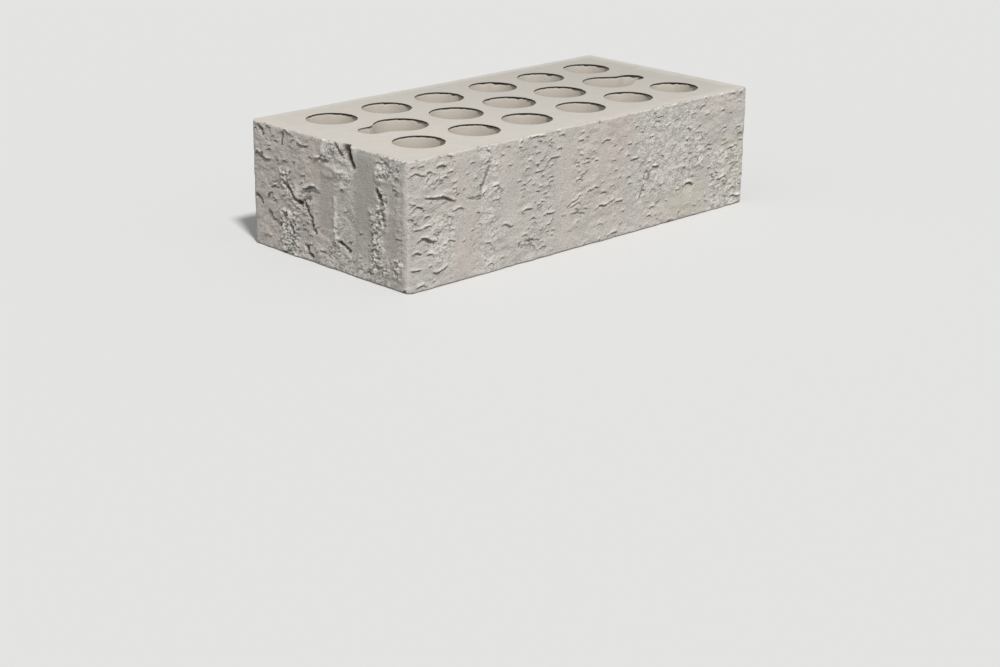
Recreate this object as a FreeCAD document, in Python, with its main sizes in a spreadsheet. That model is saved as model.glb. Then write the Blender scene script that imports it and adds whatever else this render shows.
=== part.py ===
import FreeCAD, Part
import math
import os
import Sketcher
from FreeCAD import Vector

# A cored facing brick: one extruded, wire-cut and fired block of clay.
#
# X runs along the brick's length, Y from the face side to the back, and Z up through the cores. The origin
# is the centre of the lower bed face. Every core runs right through, from bed to bed:
#
#     back row      o  o  o   o  o  o      round cores in two groups, with a wider web in the middle
#     middle row   -O   O   O   O   O-     larger cores, and the two end ones are keyholes, tails outwards
#     face row      o  o  o   o  o  o

NODE = "brick"

# ---------------------------------------------------------------- driving dimensions, millimetres
SIZES = {
    "length": 250,
    "width": 120,
    "height": 65,
    "upright_radius": 2.5,         # the four upright corners, as the die forms them
    "bed_edge_radius": 1.2,        # the edges of both beds, dragged round by the cutting wire
    "core_diameter": 26.5,         # the round cores of the face row and the back row
    "side_wall": 13.75,            # clay between those cores and the long face
    "end_wall": 18,                # clay between a row's last core and the end face
    "centre_web": 13,              # clay between the two cores nearest the middle of a row
    "least_web": 8,                # the least clay that may stand between two neighbours in a row
    "middle_core_diameter": 28.5,
    "tail_width": 15,              # the slot that makes a keyhole of each end core of the middle row
    "tail_length": 11.75,          # how far a tail reaches out past its core's wall
    "tail_end_wall": 22.5,         # clay between a tail's end and the end face
    "neck_radius": 4,              # the curve where a tail leaves its core
}

# ---------------------------------------------------------------- places that follow from those sizes
# The rows' columns, from the brick's middle outwards. A longer brick gets more columns as they fit.
FIRST_COLUMN = "(sizes.centre_web + sizes.core_diameter) / 2"
LAST_COLUMN = "(sizes.length / 2 - sizes.end_wall - sizes.core_diameter / 2)"
COLUMNS_A_SIDE = (
    "floor((sizes.length / 2 - sizes.end_wall - sizes.centre_web / 2 + sizes.least_web)"
    " / (sizes.core_diameter + sizes.least_web))"
)
ROW_OFFSET = "sizes.width / 2 - sizes.side_wall - sizes.core_diameter / 2"

# The middle row: where the keyholes' round parts stand, and the equal spaces from one to the other.
KEYHOLE_X = (
    "(sizes.length / 2 - sizes.tail_end_wall - sizes.tail_length - sizes.middle_core_diameter / 2)"
)
TAIL_REACH = "(sizes.middle_core_diameter / 2 + sizes.tail_length - sizes.tail_width / 2)"
MIDDLE_SPACES = f"floor(2 * {KEYHOLE_X} / (sizes.middle_core_diameter + sizes.least_web))"
MIDDLE_PITCH = f"(2 * {KEYHOLE_X} / {MIDDLE_SPACES})"

# The solid features in the order they are made. Each one after the first takes clay away.
STAGES = ("block", "upright_corners", "bed_edges", "outer_rows", "keyholes", "middle_cores")

# Which point of a sketched line or arc a constraint holds, and the sketch's own origin and X axis.
START, END, CENTRE = 1, 2, 3
SKETCH_ORIGIN = (-1, 1)
SKETCH_X_AXIS = -1


# ---------------------------------------------------------------- document, sheet, sketches
def make_sheet(doc):
    """The sheet of driving dimensions, one named cell each."""
    sheet = doc.addObject("Spreadsheet::Sheet", "sizes")
    for row, (name, value) in enumerate(SIZES.items(), start=1):
        sheet.set(f"A{row}", name)
        sheet.set(f"B{row}", str(value))
        sheet.setAlias(f"B{row}", name)
    doc.recompute()


def worked_out(item, formula):
    """The number that a formula of the sheet's sizes gives now."""
    return float(item.Document.getObject("sizes").evalExpression(formula))


def origin_feature(body, role):
    """The body's own origin plane or axis with that role, such as XY_Plane."""
    return next(feature for feature in body.Origin.OriginFeatures if feature.Role == role)


def new_sketch(body, name):
    """An empty sketch in the plane of the lower bed."""
    sketch = body.newObject("Sketcher::SketchObject", name)
    sketch.AttachmentSupport = [(origin_feature(body, "XY_Plane"), "")]
    sketch.MapMode = "FlatFace"
    return sketch


def add_dimension(sketch, name, kind, references, formula):
    """Adds a named dimension to the sketch and binds it to a formula of the sheet's sizes."""
    index = sketch.addConstraint(Sketcher.Constraint(kind, *references, worked_out(sketch, formula)))
    sketch.renameConstraint(index, name)
    sketch.setExpression(f"Constraints.{name}", formula)


# ---------------------------------------------------------------- the block
def sketch_outline(body):
    """The brick's plan, a rectangle about the origin."""
    sketch = new_sketch(body, "outline")
    x, y = worked_out(sketch, "sizes.length") / 2, worked_out(sketch, "sizes.width") / 2
    corners = [Vector(-x, -y, 0), Vector(x, -y, 0), Vector(x, y, 0), Vector(-x, y, 0)]
    for side in range(4):
        sketch.addGeometry(Part.LineSegment(corners[side], corners[(side + 1) % 4]), False)
    for side in range(4):
        sketch.addConstraint(Sketcher.Constraint("Coincident", side, END, (side + 1) % 4, START))
        sketch.addConstraint(Sketcher.Constraint(("Horizontal", "Vertical")[side % 2], side))
    sketch.addConstraint(Sketcher.Constraint("Symmetric", 0, START, 2, START, *SKETCH_ORIGIN))
    add_dimension(sketch, "length", "DistanceX", (0, START, 0, END), "sizes.length")
    add_dimension(sketch, "width", "DistanceY", (1, START, 1, END), "sizes.width")
    return sketch


def add_block(body):
    """The extruded column of clay, cut to the brick's height."""
    block = body.newObject("PartDesign::Pad", "block")
    block.Profile = sketch_outline(body)
    block.setExpression("Length", "sizes.height")
    body.Document.recompute()
    return block


def is_upright(edge):
    """True for an edge that runs from bed to bed."""
    return edge.BoundBox.ZLength > edge.BoundBox.XLength + edge.BoundBox.YLength


def lies_in_a_bed(edge):
    """True for an edge in one of the two bed faces."""
    return edge.BoundBox.ZLength < 0.001


def add_rounding(body, base, name, radius, chosen):
    """Rounds those edges of the base feature that the test named by chosen picks."""
    edges = [f"Edge{number}" for number, edge in enumerate(base.Shape.Edges, start=1) if chosen(edge)]
    rounding = body.newObject("PartDesign::Fillet", name)
    rounding.Base = (base, edges)
    rounding.setExpression("Radius", radius)
    body.Document.recompute()
    return rounding


# ---------------------------------------------------------------- the cores
def sketch_circle(body, name, diameter, x, y=None):
    """A circle at formulas x and y of the sheet's sizes, or on the X axis where y is left out."""
    sketch = new_sketch(body, name)
    centre = Vector(worked_out(sketch, x), worked_out(sketch, y) if y else 0, 0)
    circle = Part.Circle(centre, Vector(0, 0, 1), worked_out(sketch, diameter) / 2)
    sketch.addGeometry(circle, False)
    add_dimension(sketch, "diameter", "Diameter", (0,), diameter)
    add_dimension(sketch, "across", "DistanceX", (*SKETCH_ORIGIN, 0, CENTRE), x)
    if y:
        add_dimension(sketch, "up", "DistanceY", (*SKETCH_ORIGIN, 0, CENTRE), y)
    else:
        sketch.addConstraint(Sketcher.Constraint("PointOnObject", 0, CENTRE, SKETCH_X_AXIS))
    return sketch


def sketch_keyhole(body):
    """The keyhole at the +X end: a round core, two neck curves, and a tail along +X with a round end."""
    sketch = new_sketch(body, "keyhole_outline")
    core_x = worked_out(sketch, KEYHOLE_X)
    core = worked_out(sketch, "sizes.middle_core_diameter") / 2
    neck = worked_out(sketch, "sizes.neck_radius")
    tail = worked_out(sketch, "sizes.tail_width") / 2
    tail_x = core_x + worked_out(sketch, TAIL_REACH)
    lean = math.asin((tail + neck) / (core + neck))
    neck_x = core_x + (core + neck) * math.cos(lean)

    def arc(x, y, radius, start, end):
        return Part.ArcOfCircle(Part.Circle(Vector(x, y, 0), Vector(0, 0, 1), radius), start, end)

    quarter = math.pi / 2
    outline = [
        arc(core_x, 0, core, lean, 2 * math.pi - lean),
        arc(neck_x, tail + neck, neck, math.pi + lean, 3 * quarter),
        Part.LineSegment(Vector(neck_x, tail, 0), Vector(tail_x, tail, 0)),
        arc(tail_x, 0, tail, -quarter, quarter),
        Part.LineSegment(Vector(tail_x, -tail, 0), Vector(neck_x, -tail, 0)),
        arc(neck_x, -tail - neck, neck, quarter, math.pi - lean),
    ]
    for curve in outline:
        sketch.addGeometry(curve, False)
    round_core, upper_neck, upper_side, tail_end, lower_side, lower_neck = range(len(outline))

    joins = [
        (round_core, START, upper_neck, START),
        (upper_neck, END, upper_side, START),
        (upper_side, END, tail_end, END),
        (tail_end, START, lower_side, START),
        (lower_side, END, lower_neck, START),
        (lower_neck, END, round_core, END),
    ]
    for join in joins:
        sketch.addConstraint(Sketcher.Constraint("Tangent", *join))
    for side in (upper_side, lower_side):
        sketch.addConstraint(Sketcher.Constraint("Horizontal", side))
    for curve in (round_core, tail_end):
        sketch.addConstraint(Sketcher.Constraint("PointOnObject", curve, CENTRE, SKETCH_X_AXIS))
    sketch.addConstraint(Sketcher.Constraint("Equal", upper_neck, lower_neck))

    add_dimension(sketch, "core_radius", "Radius", (round_core,), "sizes.middle_core_diameter / 2")
    add_dimension(sketch, "neck_radius", "Radius", (upper_neck,), "sizes.neck_radius")
    add_dimension(sketch, "tail_radius", "Radius", (tail_end,), "sizes.tail_width / 2")
    add_dimension(sketch, "core_x", "DistanceX", (*SKETCH_ORIGIN, round_core, CENTRE), KEYHOLE_X)
    add_dimension(sketch, "reach", "DistanceX", (round_core, CENTRE, tail_end, CENTRE), TAIL_REACH)
    return sketch


def add_core(body, name, sketch):
    """Cuts the sketched core up through the whole brick."""
    core = body.newObject("PartDesign::Pocket", name)
    core.Profile = sketch
    core.Type = "ThroughAll"
    core.Reversed = True
    body.Document.recompute()
    return core


def set_columns(body, pattern, count, span):
    """Makes a pattern repeat along the brick: count cores in all, with the span from first to last."""
    pattern.Direction = (origin_feature(body, "X_Axis"), [""])
    pattern.Mode = "Extent"
    pattern.setExpression("Length", span)
    pattern.setExpression("Occurrences", count)


def set_mirror(body, mirror, plane):
    """Makes a mirror repeat what it is given on the other side of one of the body's origin planes."""
    mirror.MirrorPlane = (origin_feature(body, plane), [""])


def add_outer_rows(body):
    """The face row and the back row: one core, repeated outwards and mirrored to both ends and rows."""
    circle = sketch_circle(body, "row_core_circle", "sizes.core_diameter", FIRST_COLUMN, ROW_OFFSET)
    core = add_core(body, "row_core", circle)
    rows = body.newObject("PartDesign::MultiTransform", "outer_rows")
    rows.Originals = [core]
    columns = body.newObject("PartDesign::LinearPattern", "row_columns")
    set_columns(body, columns, COLUMNS_A_SIDE, f"{LAST_COLUMN} - {FIRST_COLUMN}")
    other_end = body.newObject("PartDesign::Mirrored", "row_other_end")
    set_mirror(body, other_end, "YZ_Plane")
    other_row = body.newObject("PartDesign::Mirrored", "row_other_side")
    set_mirror(body, other_row, "XZ_Plane")
    rows.Transformations = [columns, other_end, other_row]
    body.Tip = rows
    body.Document.recompute()


def add_keyholes(body):
    """The keyhole at each end of the middle row."""
    core = add_core(body, "keyhole", sketch_keyhole(body))
    both = body.newObject("PartDesign::Mirrored", "keyholes")
    both.Originals = [core]
    set_mirror(body, both, "YZ_Plane")
    body.Tip = both
    body.Document.recompute()


def add_middle_cores(body):
    """The round cores between the keyholes, evenly spaced from the one next to the +X keyhole."""
    circle = sketch_circle(
        body, "middle_core_circle", "sizes.middle_core_diameter", f"{KEYHOLE_X} - {MIDDLE_PITCH}"
    )
    core = add_core(body, "middle_core", circle)
    row = body.newObject("PartDesign::LinearPattern", "middle_cores")
    row.Originals = [core]
    set_columns(body, row, f"{MIDDLE_SPACES} - 1", f"2 * ({KEYHOLE_X} - {MIDDLE_PITCH})")
    row.Reversed = True
    body.Tip = row
    body.Document.recompute()


# ---------------------------------------------------------------- checks and export
def check(doc, body):
    """Stops the build on a failed feature, an unsound solid, or a feature that took no clay away."""
    failed = [item.Name for item in doc.Objects if {"Invalid", "Error"} & set(item.State)]
    assert not failed, f"failed features: {failed}"
    assert not body.Shape.isNull() and body.Shape.isValid(), "the brick's shape is not sound"
    assert len(body.Shape.Solids) == 1, "the brick is not one solid"

    stages = [body.getObject(name).Shape.Volume for name in STAGES]
    for name, before, after in zip(STAGES[1:], stages, stages[1:]):
        assert after < before, f"{name} took no clay away"


def build():
    """Makes the document, its sheet and the brick's body, and returns the document and the body."""
    doc = FreeCAD.newDocument("facing_brick")
    make_sheet(doc)
    body = doc.addObject("PartDesign::Body", NODE)
    body.Label = NODE
    block = add_block(body)
    corners = add_rounding(body, block, "upright_corners", "sizes.upright_radius", is_upright)
    add_rounding(body, corners, "bed_edges", "sizes.bed_edge_radius", lies_in_a_bed)
    add_outer_rows(body)
    add_keyholes(body)
    add_middle_cores(body)
    body.Placement = FreeCAD.Placement()
    return doc, body


doc, body = build()
check(doc, body)
os.makedirs("parts", exist_ok=True)
body.Shape.exportStep(f"parts/{body.Label}.step")

solid_share = body.Shape.Volume / math.prod(SIZES[name] for name in ("length", "width", "height"))
print(f"{body.Label}: {body.Shape.Volume / 1000:.1f} cm3, cores take {1 - solid_share:.1%} of the block")
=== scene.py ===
# %% [markdown]
# # A cored facing brick with torn faces
#
# A facing brick like this starts as a column of stiff clay pushed through a die. The die gives the column
# its four upright faces and its cores. Hooks and a wire then tear those faces, so that they look like
# bark, and a tight wire cuts the column into bricks. That last cut leaves two smooth beds and a ragged
# burr on the far side of every core. The whole lesson follows that order: tear the faces, cut the beds,
# drag the burrs, fire the clay.

import math

import bpy
import numpy as np
from mathutils import Euler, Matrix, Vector


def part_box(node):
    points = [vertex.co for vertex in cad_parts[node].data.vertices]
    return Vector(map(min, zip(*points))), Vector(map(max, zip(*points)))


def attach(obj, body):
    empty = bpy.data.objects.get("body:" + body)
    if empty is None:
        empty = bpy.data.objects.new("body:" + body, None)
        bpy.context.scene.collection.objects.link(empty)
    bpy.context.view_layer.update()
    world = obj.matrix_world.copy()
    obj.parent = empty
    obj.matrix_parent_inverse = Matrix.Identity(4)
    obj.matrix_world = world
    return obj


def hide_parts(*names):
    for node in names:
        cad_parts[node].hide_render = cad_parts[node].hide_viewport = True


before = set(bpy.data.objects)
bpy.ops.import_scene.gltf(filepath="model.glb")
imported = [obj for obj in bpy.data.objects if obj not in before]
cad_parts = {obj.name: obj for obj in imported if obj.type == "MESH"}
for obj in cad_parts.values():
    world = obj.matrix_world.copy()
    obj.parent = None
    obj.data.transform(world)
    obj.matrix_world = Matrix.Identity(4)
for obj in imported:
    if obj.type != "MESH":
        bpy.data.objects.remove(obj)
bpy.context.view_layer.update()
MM = 0.001


def add_object(name, data):
    """Adds an object with this mesh, light or camera to the scene, and gives it back."""
    new = bpy.data.objects.new(name, data)
    bpy.context.scene.collection.objects.link(new)
    return new



low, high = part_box("brick")
LENGTH, WIDTH, HEIGHT = ((b - a) / MM for a, b in zip(low, high))
print(f"the frame's brick is {LENGTH:.0f} x {WIDTH:.0f} x {HEIGHT:.0f} mm")

# %% [markdown]
# ## One strip round the brick
#
# The four torn faces are one skin, because the tools tore them on a column that had no ends. It could be
# four separate grids, but they would have to be sewn at the corners. Here it is a single strip, wound
# once round the brick: `along` is the distance round, from the back left corner, and `up` is the height.
# Every mark is placed on the flat strip in millimetres, and only then is the strip wound round the plan.
# The cores come first, because the strip's columns line up with the borders between them.

# %% The cores' places, the same as the frame's
CORE_RADIUS, MIDDLE_RADIUS = 26.5 / 2, 28.5 / 2
SIDE_WALL, END_WALL, KEYHOLE_WALL = 13.75, 18, 22.5    # clay between the cores and the faces
MIDDLE_WEB = 13                        # clay between the two middle cores of an outer row
ROW_Y = WIDTH / 2 - SIDE_WALL - CORE_RADIUS
FIRST_X, LAST_X = MIDDLE_WEB / 2 + CORE_RADIUS, LENGTH / 2 - END_WALL - CORE_RADIUS
TAIL_HALF_WIDTH, TAIL_LENGTH = 15 / 2, 11.75
KEYHOLE_X = LENGTH / 2 - KEYHOLE_WALL - TAIL_LENGTH - MIDDLE_RADIUS
outer_x = np.concatenate([-np.linspace(LAST_X, FIRST_X, 3), np.linspace(FIRST_X, LAST_X, 3)])
middle_x = np.linspace(-KEYHOLE_X, KEYHOLE_X, 5)

# Borders halfway between neighbouring cores. They part the beds into one cell for each core.
outer_borders = (outer_x[1:] + outer_x[:-1]) / 2
middle_borders = (middle_x[1:] + middle_x[:-1]) / 2
ROW_BORDER = (ROW_Y - CORE_RADIUS + MIDDLE_RADIUS) / 2
core_count = 2 * len(outer_x) + len(middle_x)
print(f"{core_count} cores, rows parted at {ROW_BORDER:.1f} mm each side of the middle")

# %% The strip's places
CORNER_RADIUS = 3.6                    # the upright corners, rounded by the die and then rubbed
BED_EDGE_RADIUS = 0.8                  # the edges that the wire leaves, worn a little
FOLD = 0.9                             # the strip's first and last rows lie this far in on the beds
ROUND = 2 * (LENGTH + WIDTH)           # the strip's length
LEFT_END, FRONT = 0.0, WIDTH           # where each face starts on the strip
RIGHT_END, BACK = WIDTH + LENGTH, 2 * WIDTH + LENGTH

FINE_STEP, MIDDLE_STEP, COARSE_STEP = 0.9, 1.3, 1.9     # column spacing: shown faces, right end, back
ROW_STEP = 0.62
CORNER_STEPS = 4                       # on each side of a corner's middle


def even(stops, step):
    """Positions through every stop, in even steps of about the given length between them."""
    counts = [max(1, round((b - a) / step)) for a, b in zip(stops, stops[1:])]
    runs = [np.linspace(a, b, n, endpoint=False) for a, b, n in zip(stops, stops[1:], counts)]
    return np.concatenate([*runs, stops[-1:]])


def face_columns(start, length, step, borders):
    """Columns of one face: fine steps round its corner halves, even ones through the borders."""
    flat = even([CORNER_RADIUS, *(length / 2 + borders), length - CORNER_RADIUS], step)
    half = np.linspace(0, CORNER_RADIUS, CORNER_STEPS, endpoint=False)
    return start + np.concatenate([half, flat, length - half[:0:-1]])


end_borders = np.array([-ROW_BORDER, ROW_BORDER])
columns = np.concatenate([
    face_columns(LEFT_END, WIDTH, FINE_STEP, end_borders),
    face_columns(FRONT, LENGTH, FINE_STEP, outer_borders),
    face_columns(RIGHT_END, WIDTH, MIDDLE_STEP, end_borders),
    face_columns(BACK, LENGTH, COARSE_STEP, outer_borders),
])

turn = np.radians([-90, -45])          # the two rows that round a bed's edge
wall = np.linspace(BED_EDGE_RADIUS, HEIGHT - BED_EDGE_RADIUS, round(HEIGHT / ROW_STEP))
lower_edge = np.concatenate([[0], BED_EDGE_RADIUS * (1 + np.sin(turn))])
rows = np.concatenate([lower_edge, wall, HEIGHT - lower_edge[::-1]])
edge_inset = np.concatenate([[BED_EDGE_RADIUS + FOLD], BED_EDGE_RADIUS * (1 - np.cos(turn))])
row_inset = np.concatenate([edge_inset, np.zeros(len(wall)), edge_inset[::-1]])

along, up = np.meshgrid(columns, rows)
print(f"the strip has {len(columns)} columns and {len(rows)} rows")


# %% Winding the strip round the plan
def wind(s):
    """Plan point and outward direction at distance s along the strip.

    On the straight the point is the face's start plus s along it. Within a corner radius of a corner it
    turns on a quarter circle, half on each face, by an angle that grows evenly with s.
    """
    starts = np.array([LEFT_END, FRONT, RIGHT_END, BACK, ROUND])
    face = np.clip(np.searchsorted(starts, s, side="right") - 1, 0, 3)
    x, y = LENGTH / 2, WIDTH / 2
    first = np.array([(-x, y), (-x, -y), (x, -y), (x, y)])[face]
    forward = np.array([(0, -1), (1, 0), (0, 1), (-1, 0)])[face]
    outward = np.array([(-1, 0), (0, -1), (1, 0), (0, 1)])[face]
    distance = s - starts[face]
    to_end = starts[face + 1] - s
    r = CORNER_RADIUS
    angle = math.radians(45) * (np.clip(1 - to_end / r, 0, 1) - np.clip(1 - distance / r, 0, 1))
    middle = np.clip(distance, r, starts[face + 1] - starts[face] - r)
    normal = outward * np.cos(angle)[:, None] + forward * np.sin(angle)[:, None]
    point = first + forward * middle[:, None] - outward * r + normal * r
    return point, normal


print("the front left corner lies at", np.round(wind(np.array([FRONT]))[0][0], 1), "mm")

# %% [markdown]
# ## Noise for clay
#
# Clay tears unevenly, so every mark needs some chance in its outline. Blender has its own noise, but the
# mesh needs the value at each point before the mesh exists. So here is a small value noise: random
# numbers on a lattice, joined smoothly. The lattice closes on itself along the strip, so the skin has no
# seam.

# %% Noise
def lattice_noise(s, z, grain_s, grain_z, seed):
    """Random values from -1 to 1 on a lattice of that grain, in mm, blended smoothly between."""
    across = max(3, round(ROUND / grain_s))
    high_cells = int(HEIGHT / grain_z) + 4
    table = np.random.default_rng(seed).uniform(-1, 1, (high_cells, across))
    x = np.mod(s, ROUND) / ROUND * across
    y = np.clip(z / grain_z + 1, 0, high_cells - 1.001)
    column, row = np.floor(x).astype(int), np.floor(y).astype(int)
    fx, fy = x - column, y - row
    fx, fy = fx * fx * (3 - 2 * fx), fy * fy * (3 - 2 * fy)
    left, right = column % across, (column + 1) % across
    below = table[row, left] * (1 - fx) + table[row, right] * fx
    above = table[row + 1, left] * (1 - fx) + table[row + 1, right] * fx
    return below * (1 - fy) + above * fy


def rough_noise(s, z, grain_s, grain_z, seed, octaves=3):
    """Lattice noise with finer noise added: each octave has half the grain and half the strength."""
    layers = [
        lattice_noise(s, z, grain_s / 2**k, grain_z / 2**k, seed + k) / 2**k for k in range(octaves)
    ]
    return sum(layers) / sum(0.5**k for k in range(octaves))


def ease(value):
    """0 below 0, 1 above 1, and a smooth curve between."""
    value = np.clip(value, 0, 1)
    return value * value * (3 - 2 * value)


# Marks are placed on this bent copy of the strip, so that no outline is a clean curve.
# The end that was torn hardest bends most.
bend = 1 + 0.9 * ease((WIDTH - along) / 4)
bent_along = along + 0.75 * bend * rough_noise(along, up, 3.5, 2.6, 11)
bent_up = up + 0.5 * bend * rough_noise(along, up, 3.0, 2.2, 21)
print(f"outlines bend by up to {np.abs(bent_along - along).max():.2f} mm along the strip")

# %% [markdown]
# ## The marks a hook leaves
#
# A hook that drags through stiff clay lifts a small scale. Above the scale there is a sharp overhung
# edge, which stays dark, and below it the clay slopes gently back up to the face and catches the light.
# So one mark is a step down along a curved upper edge and a long ramp below it. A scratch or crack is a
# narrow groove instead. Each kind writes into layers of the strip: how deep the clay is torn, how far its
# lips stand up, and where painted shade darkens the colour in a line under its edge.

# %% Layers of the marks
torn_depth = np.zeros_like(along)      # how deep the clay is torn, in mm
lip_height = np.zeros_like(along)      # how far a torn edge stands up
# Painted shade: a dark line painted into the colour right under a torn edge and along a groove.
edge_line = np.zeros_like(along)       # 1 or more in the dark line right under a torn edge
edge_pull = np.zeros_like(along)       # how far a point moves up to sit on the torn edge
STEP_WIDTH = 0.35                      # how far the steep upper edge of a tear runs, in mm
LIP_SHARE = 0.36                       # a lip's height as a share of its tear's depth
PULL_REACH = 0.8                       # points within about this distance are drawn to a torn edge
# Painted shade: in deep grooves the painted dark line is made stronger than 1, so that it stays dark in the
# sun.
DARKEST = 1.25                         # the dark line of a deep groove goes past 1, to stay dark in the sun


def near(s0, s1, z0, z1, margin):
    """The rows and columns of the strip that a mark can reach."""
    near_rows = slice(*np.searchsorted(rows, [z0 - margin, z1 + margin]))
    near_columns = slice(*np.searchsorted(columns, [s0 - margin, s1 + margin]))
    return near_rows, near_columns


def cut(where, body, below_edge, depth, ramp):
    """Lowers the clay under an edge: a steep step, then a ramp that comes back to the face.

    body is 1 in the mark's middle and 0 past its ends, and below_edge is the distance under the edge.
    Points close to the edge are drawn to it, by a share of their distance that falls off as a bell curve,
    so that the step between two rows of points is steep and thin.
    """
    step = ease(below_edge / STEP_WIDTH + 0.5)
    slope = np.clip(1 - below_edge / (0.75 * ramp * (0.25 + 0.75 * body)), 0, 1)
    lowered = depth * body * step * slope**1.2
    torn_depth[where] = np.maximum(torn_depth[where], lowered)
    lip = LIP_SHARE * depth * body * np.exp(-((below_edge + 0.45) / 0.6) ** 2)
    lip_height[where] = np.maximum(lip_height[where], lip)
    # Painted shade: a dark line painted into the colour just under the edge.
    darkness, line_width = np.clip(0.35 + depth / 0.85, 0, 1), 0.2 + 0.22 * depth
    line = darkness * body * np.exp(-(((below_edge - 0.25) / line_width) ** 2))
    edge_line[where] = np.maximum(edge_line[where], line)
    pull = 0.85 * body**0.5 * below_edge * np.exp(-((below_edge / PULL_REACH) ** 2))
    stronger = np.abs(pull) > np.abs(edge_pull[where])
    edge_pull[where] = np.where(stronger, pull, edge_pull[where])


# %% A tear and a ledge
def tear(s, z, width, depth, tilt=0.0, arch=None, ramp=None):
    """One scale-shaped tear centred under its upper edge at (s, z). The edge is an arch over its width."""
    arch = 0.4 * width if arch is None else arch
    ramp = 0.3 * width + 0.6 if ramp is None else ramp
    where = near(s, s, z, z, width + arch + ramp)
    ds, dz = bent_along[where] - s, bent_up[where] - z
    cosine, sine = math.cos(math.radians(tilt)), math.sin(math.radians(tilt))
    across, above = (ds * cosine + dz * sine) / (width / 2), dz * cosine - ds * sine
    body = np.clip(1 - across**2, 0, 1) ** 0.5
    cut(where, body, arch * (body - 0.5) - above, depth, ramp)


def ledge(face, points, depth, ramp=2.5):
    """A long tear whose upper edge runs through the points (distance along the face, height)."""
    s, z = np.array(points, float).T
    s = s + face
    where = near(s[0], s[-1], z.min(), z.max(), ramp + 2)
    x = bent_along[where]
    share = np.clip((x - s[0]) / (s[-1] - s[0]), 0, 1)
    body = np.clip(6 * share * (1 - share), 0, 1) ** 0.5
    cut(where, body, np.interp(x, s, z) - bent_up[where], depth, ramp)


# %% A groove and a patch
def groove(face, points, depth, width, straight=False):
    """A narrow channel through the points: depth falls off with the distance from the line as a bell curve.

    A straight one was scratched by a single grain, so it isn't bent and its width stays even.
    """
    path = np.array(points, float) + (face, 0)
    where = near(path[:, 0].min(), path[:, 0].max(), path[:, 1].min(), path[:, 1].max(), 3 * width)
    x, y = (along[where], up[where]) if straight else (bent_along[where], bent_up[where])
    distance = np.full_like(x, 1e3)
    for (s0, z0), (s1, z1) in zip(path, path[1:]):
        run, rise = s1 - s0, z1 - z0
        share = np.clip(((x - s0) * run + (y - z0) * rise) / (run**2 + rise**2), 0, 1)
        distance = np.minimum(distance, np.hypot(x - s0 - share * run, y - z0 - share * rise))
    if not straight:
        distance = distance + 0.75 * width * rough_noise(x, y, 1.7, 1.5, 23, 2)
    profile = np.exp(-(np.clip(distance / width, 0, None) ** 3))
    torn_depth[where] = np.maximum(torn_depth[where], depth * profile)
    lip = 0.12 * LIP_SHARE * depth * np.exp(-(((distance - 1.9 * width) / width) ** 2))
    lip_height[where] = np.maximum(lip_height[where], lip)
    # Painted shade: a dark line painted into the colour along the groove.
    line = min(DARKEST, 0.35 + 0.5 * depth) * ease(1.45 - distance / width)
    edge_line[where] = np.maximum(edge_line[where], line)


def patch(face, s0, s1, z0, z1, soft=2.0):
    """1 inside a box on the strip and 0 outside it, over a soft and ragged border."""
    wander = 1.5 * rough_noise(along, up, 6, 6, 31)
    x, y = along - face + wander, up - 0.6 * wander
    inside = ease((x - s0) / soft + 0.5) * ease((s1 - x) / soft + 0.5)
    return inside * ease((y - z0) / soft + 0.5) * ease((z1 - y) / soft + 0.5)


UNDER, OVER = -5, 70                   # heights past both beds, for a patch as tall as the brick


def patches(boxes, start=0.0):
    """Patches added to start: each a face, two places along it, two heights, softness and strength."""
    return sum((strength * patch(*box) for *box, strength in boxes), start)


# %% [markdown]
# ## The long face
#
# On a real face the strongest marks are its signature: a wavy gash near the corner, one straight scratch,
# a small arch low down at the far end. These are placed one by one. Each row below is one tear: its
# distance from the left corner, the height of its upper edge, its width and its depth, in millimetres.
# Long edges and grooves follow.

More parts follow.
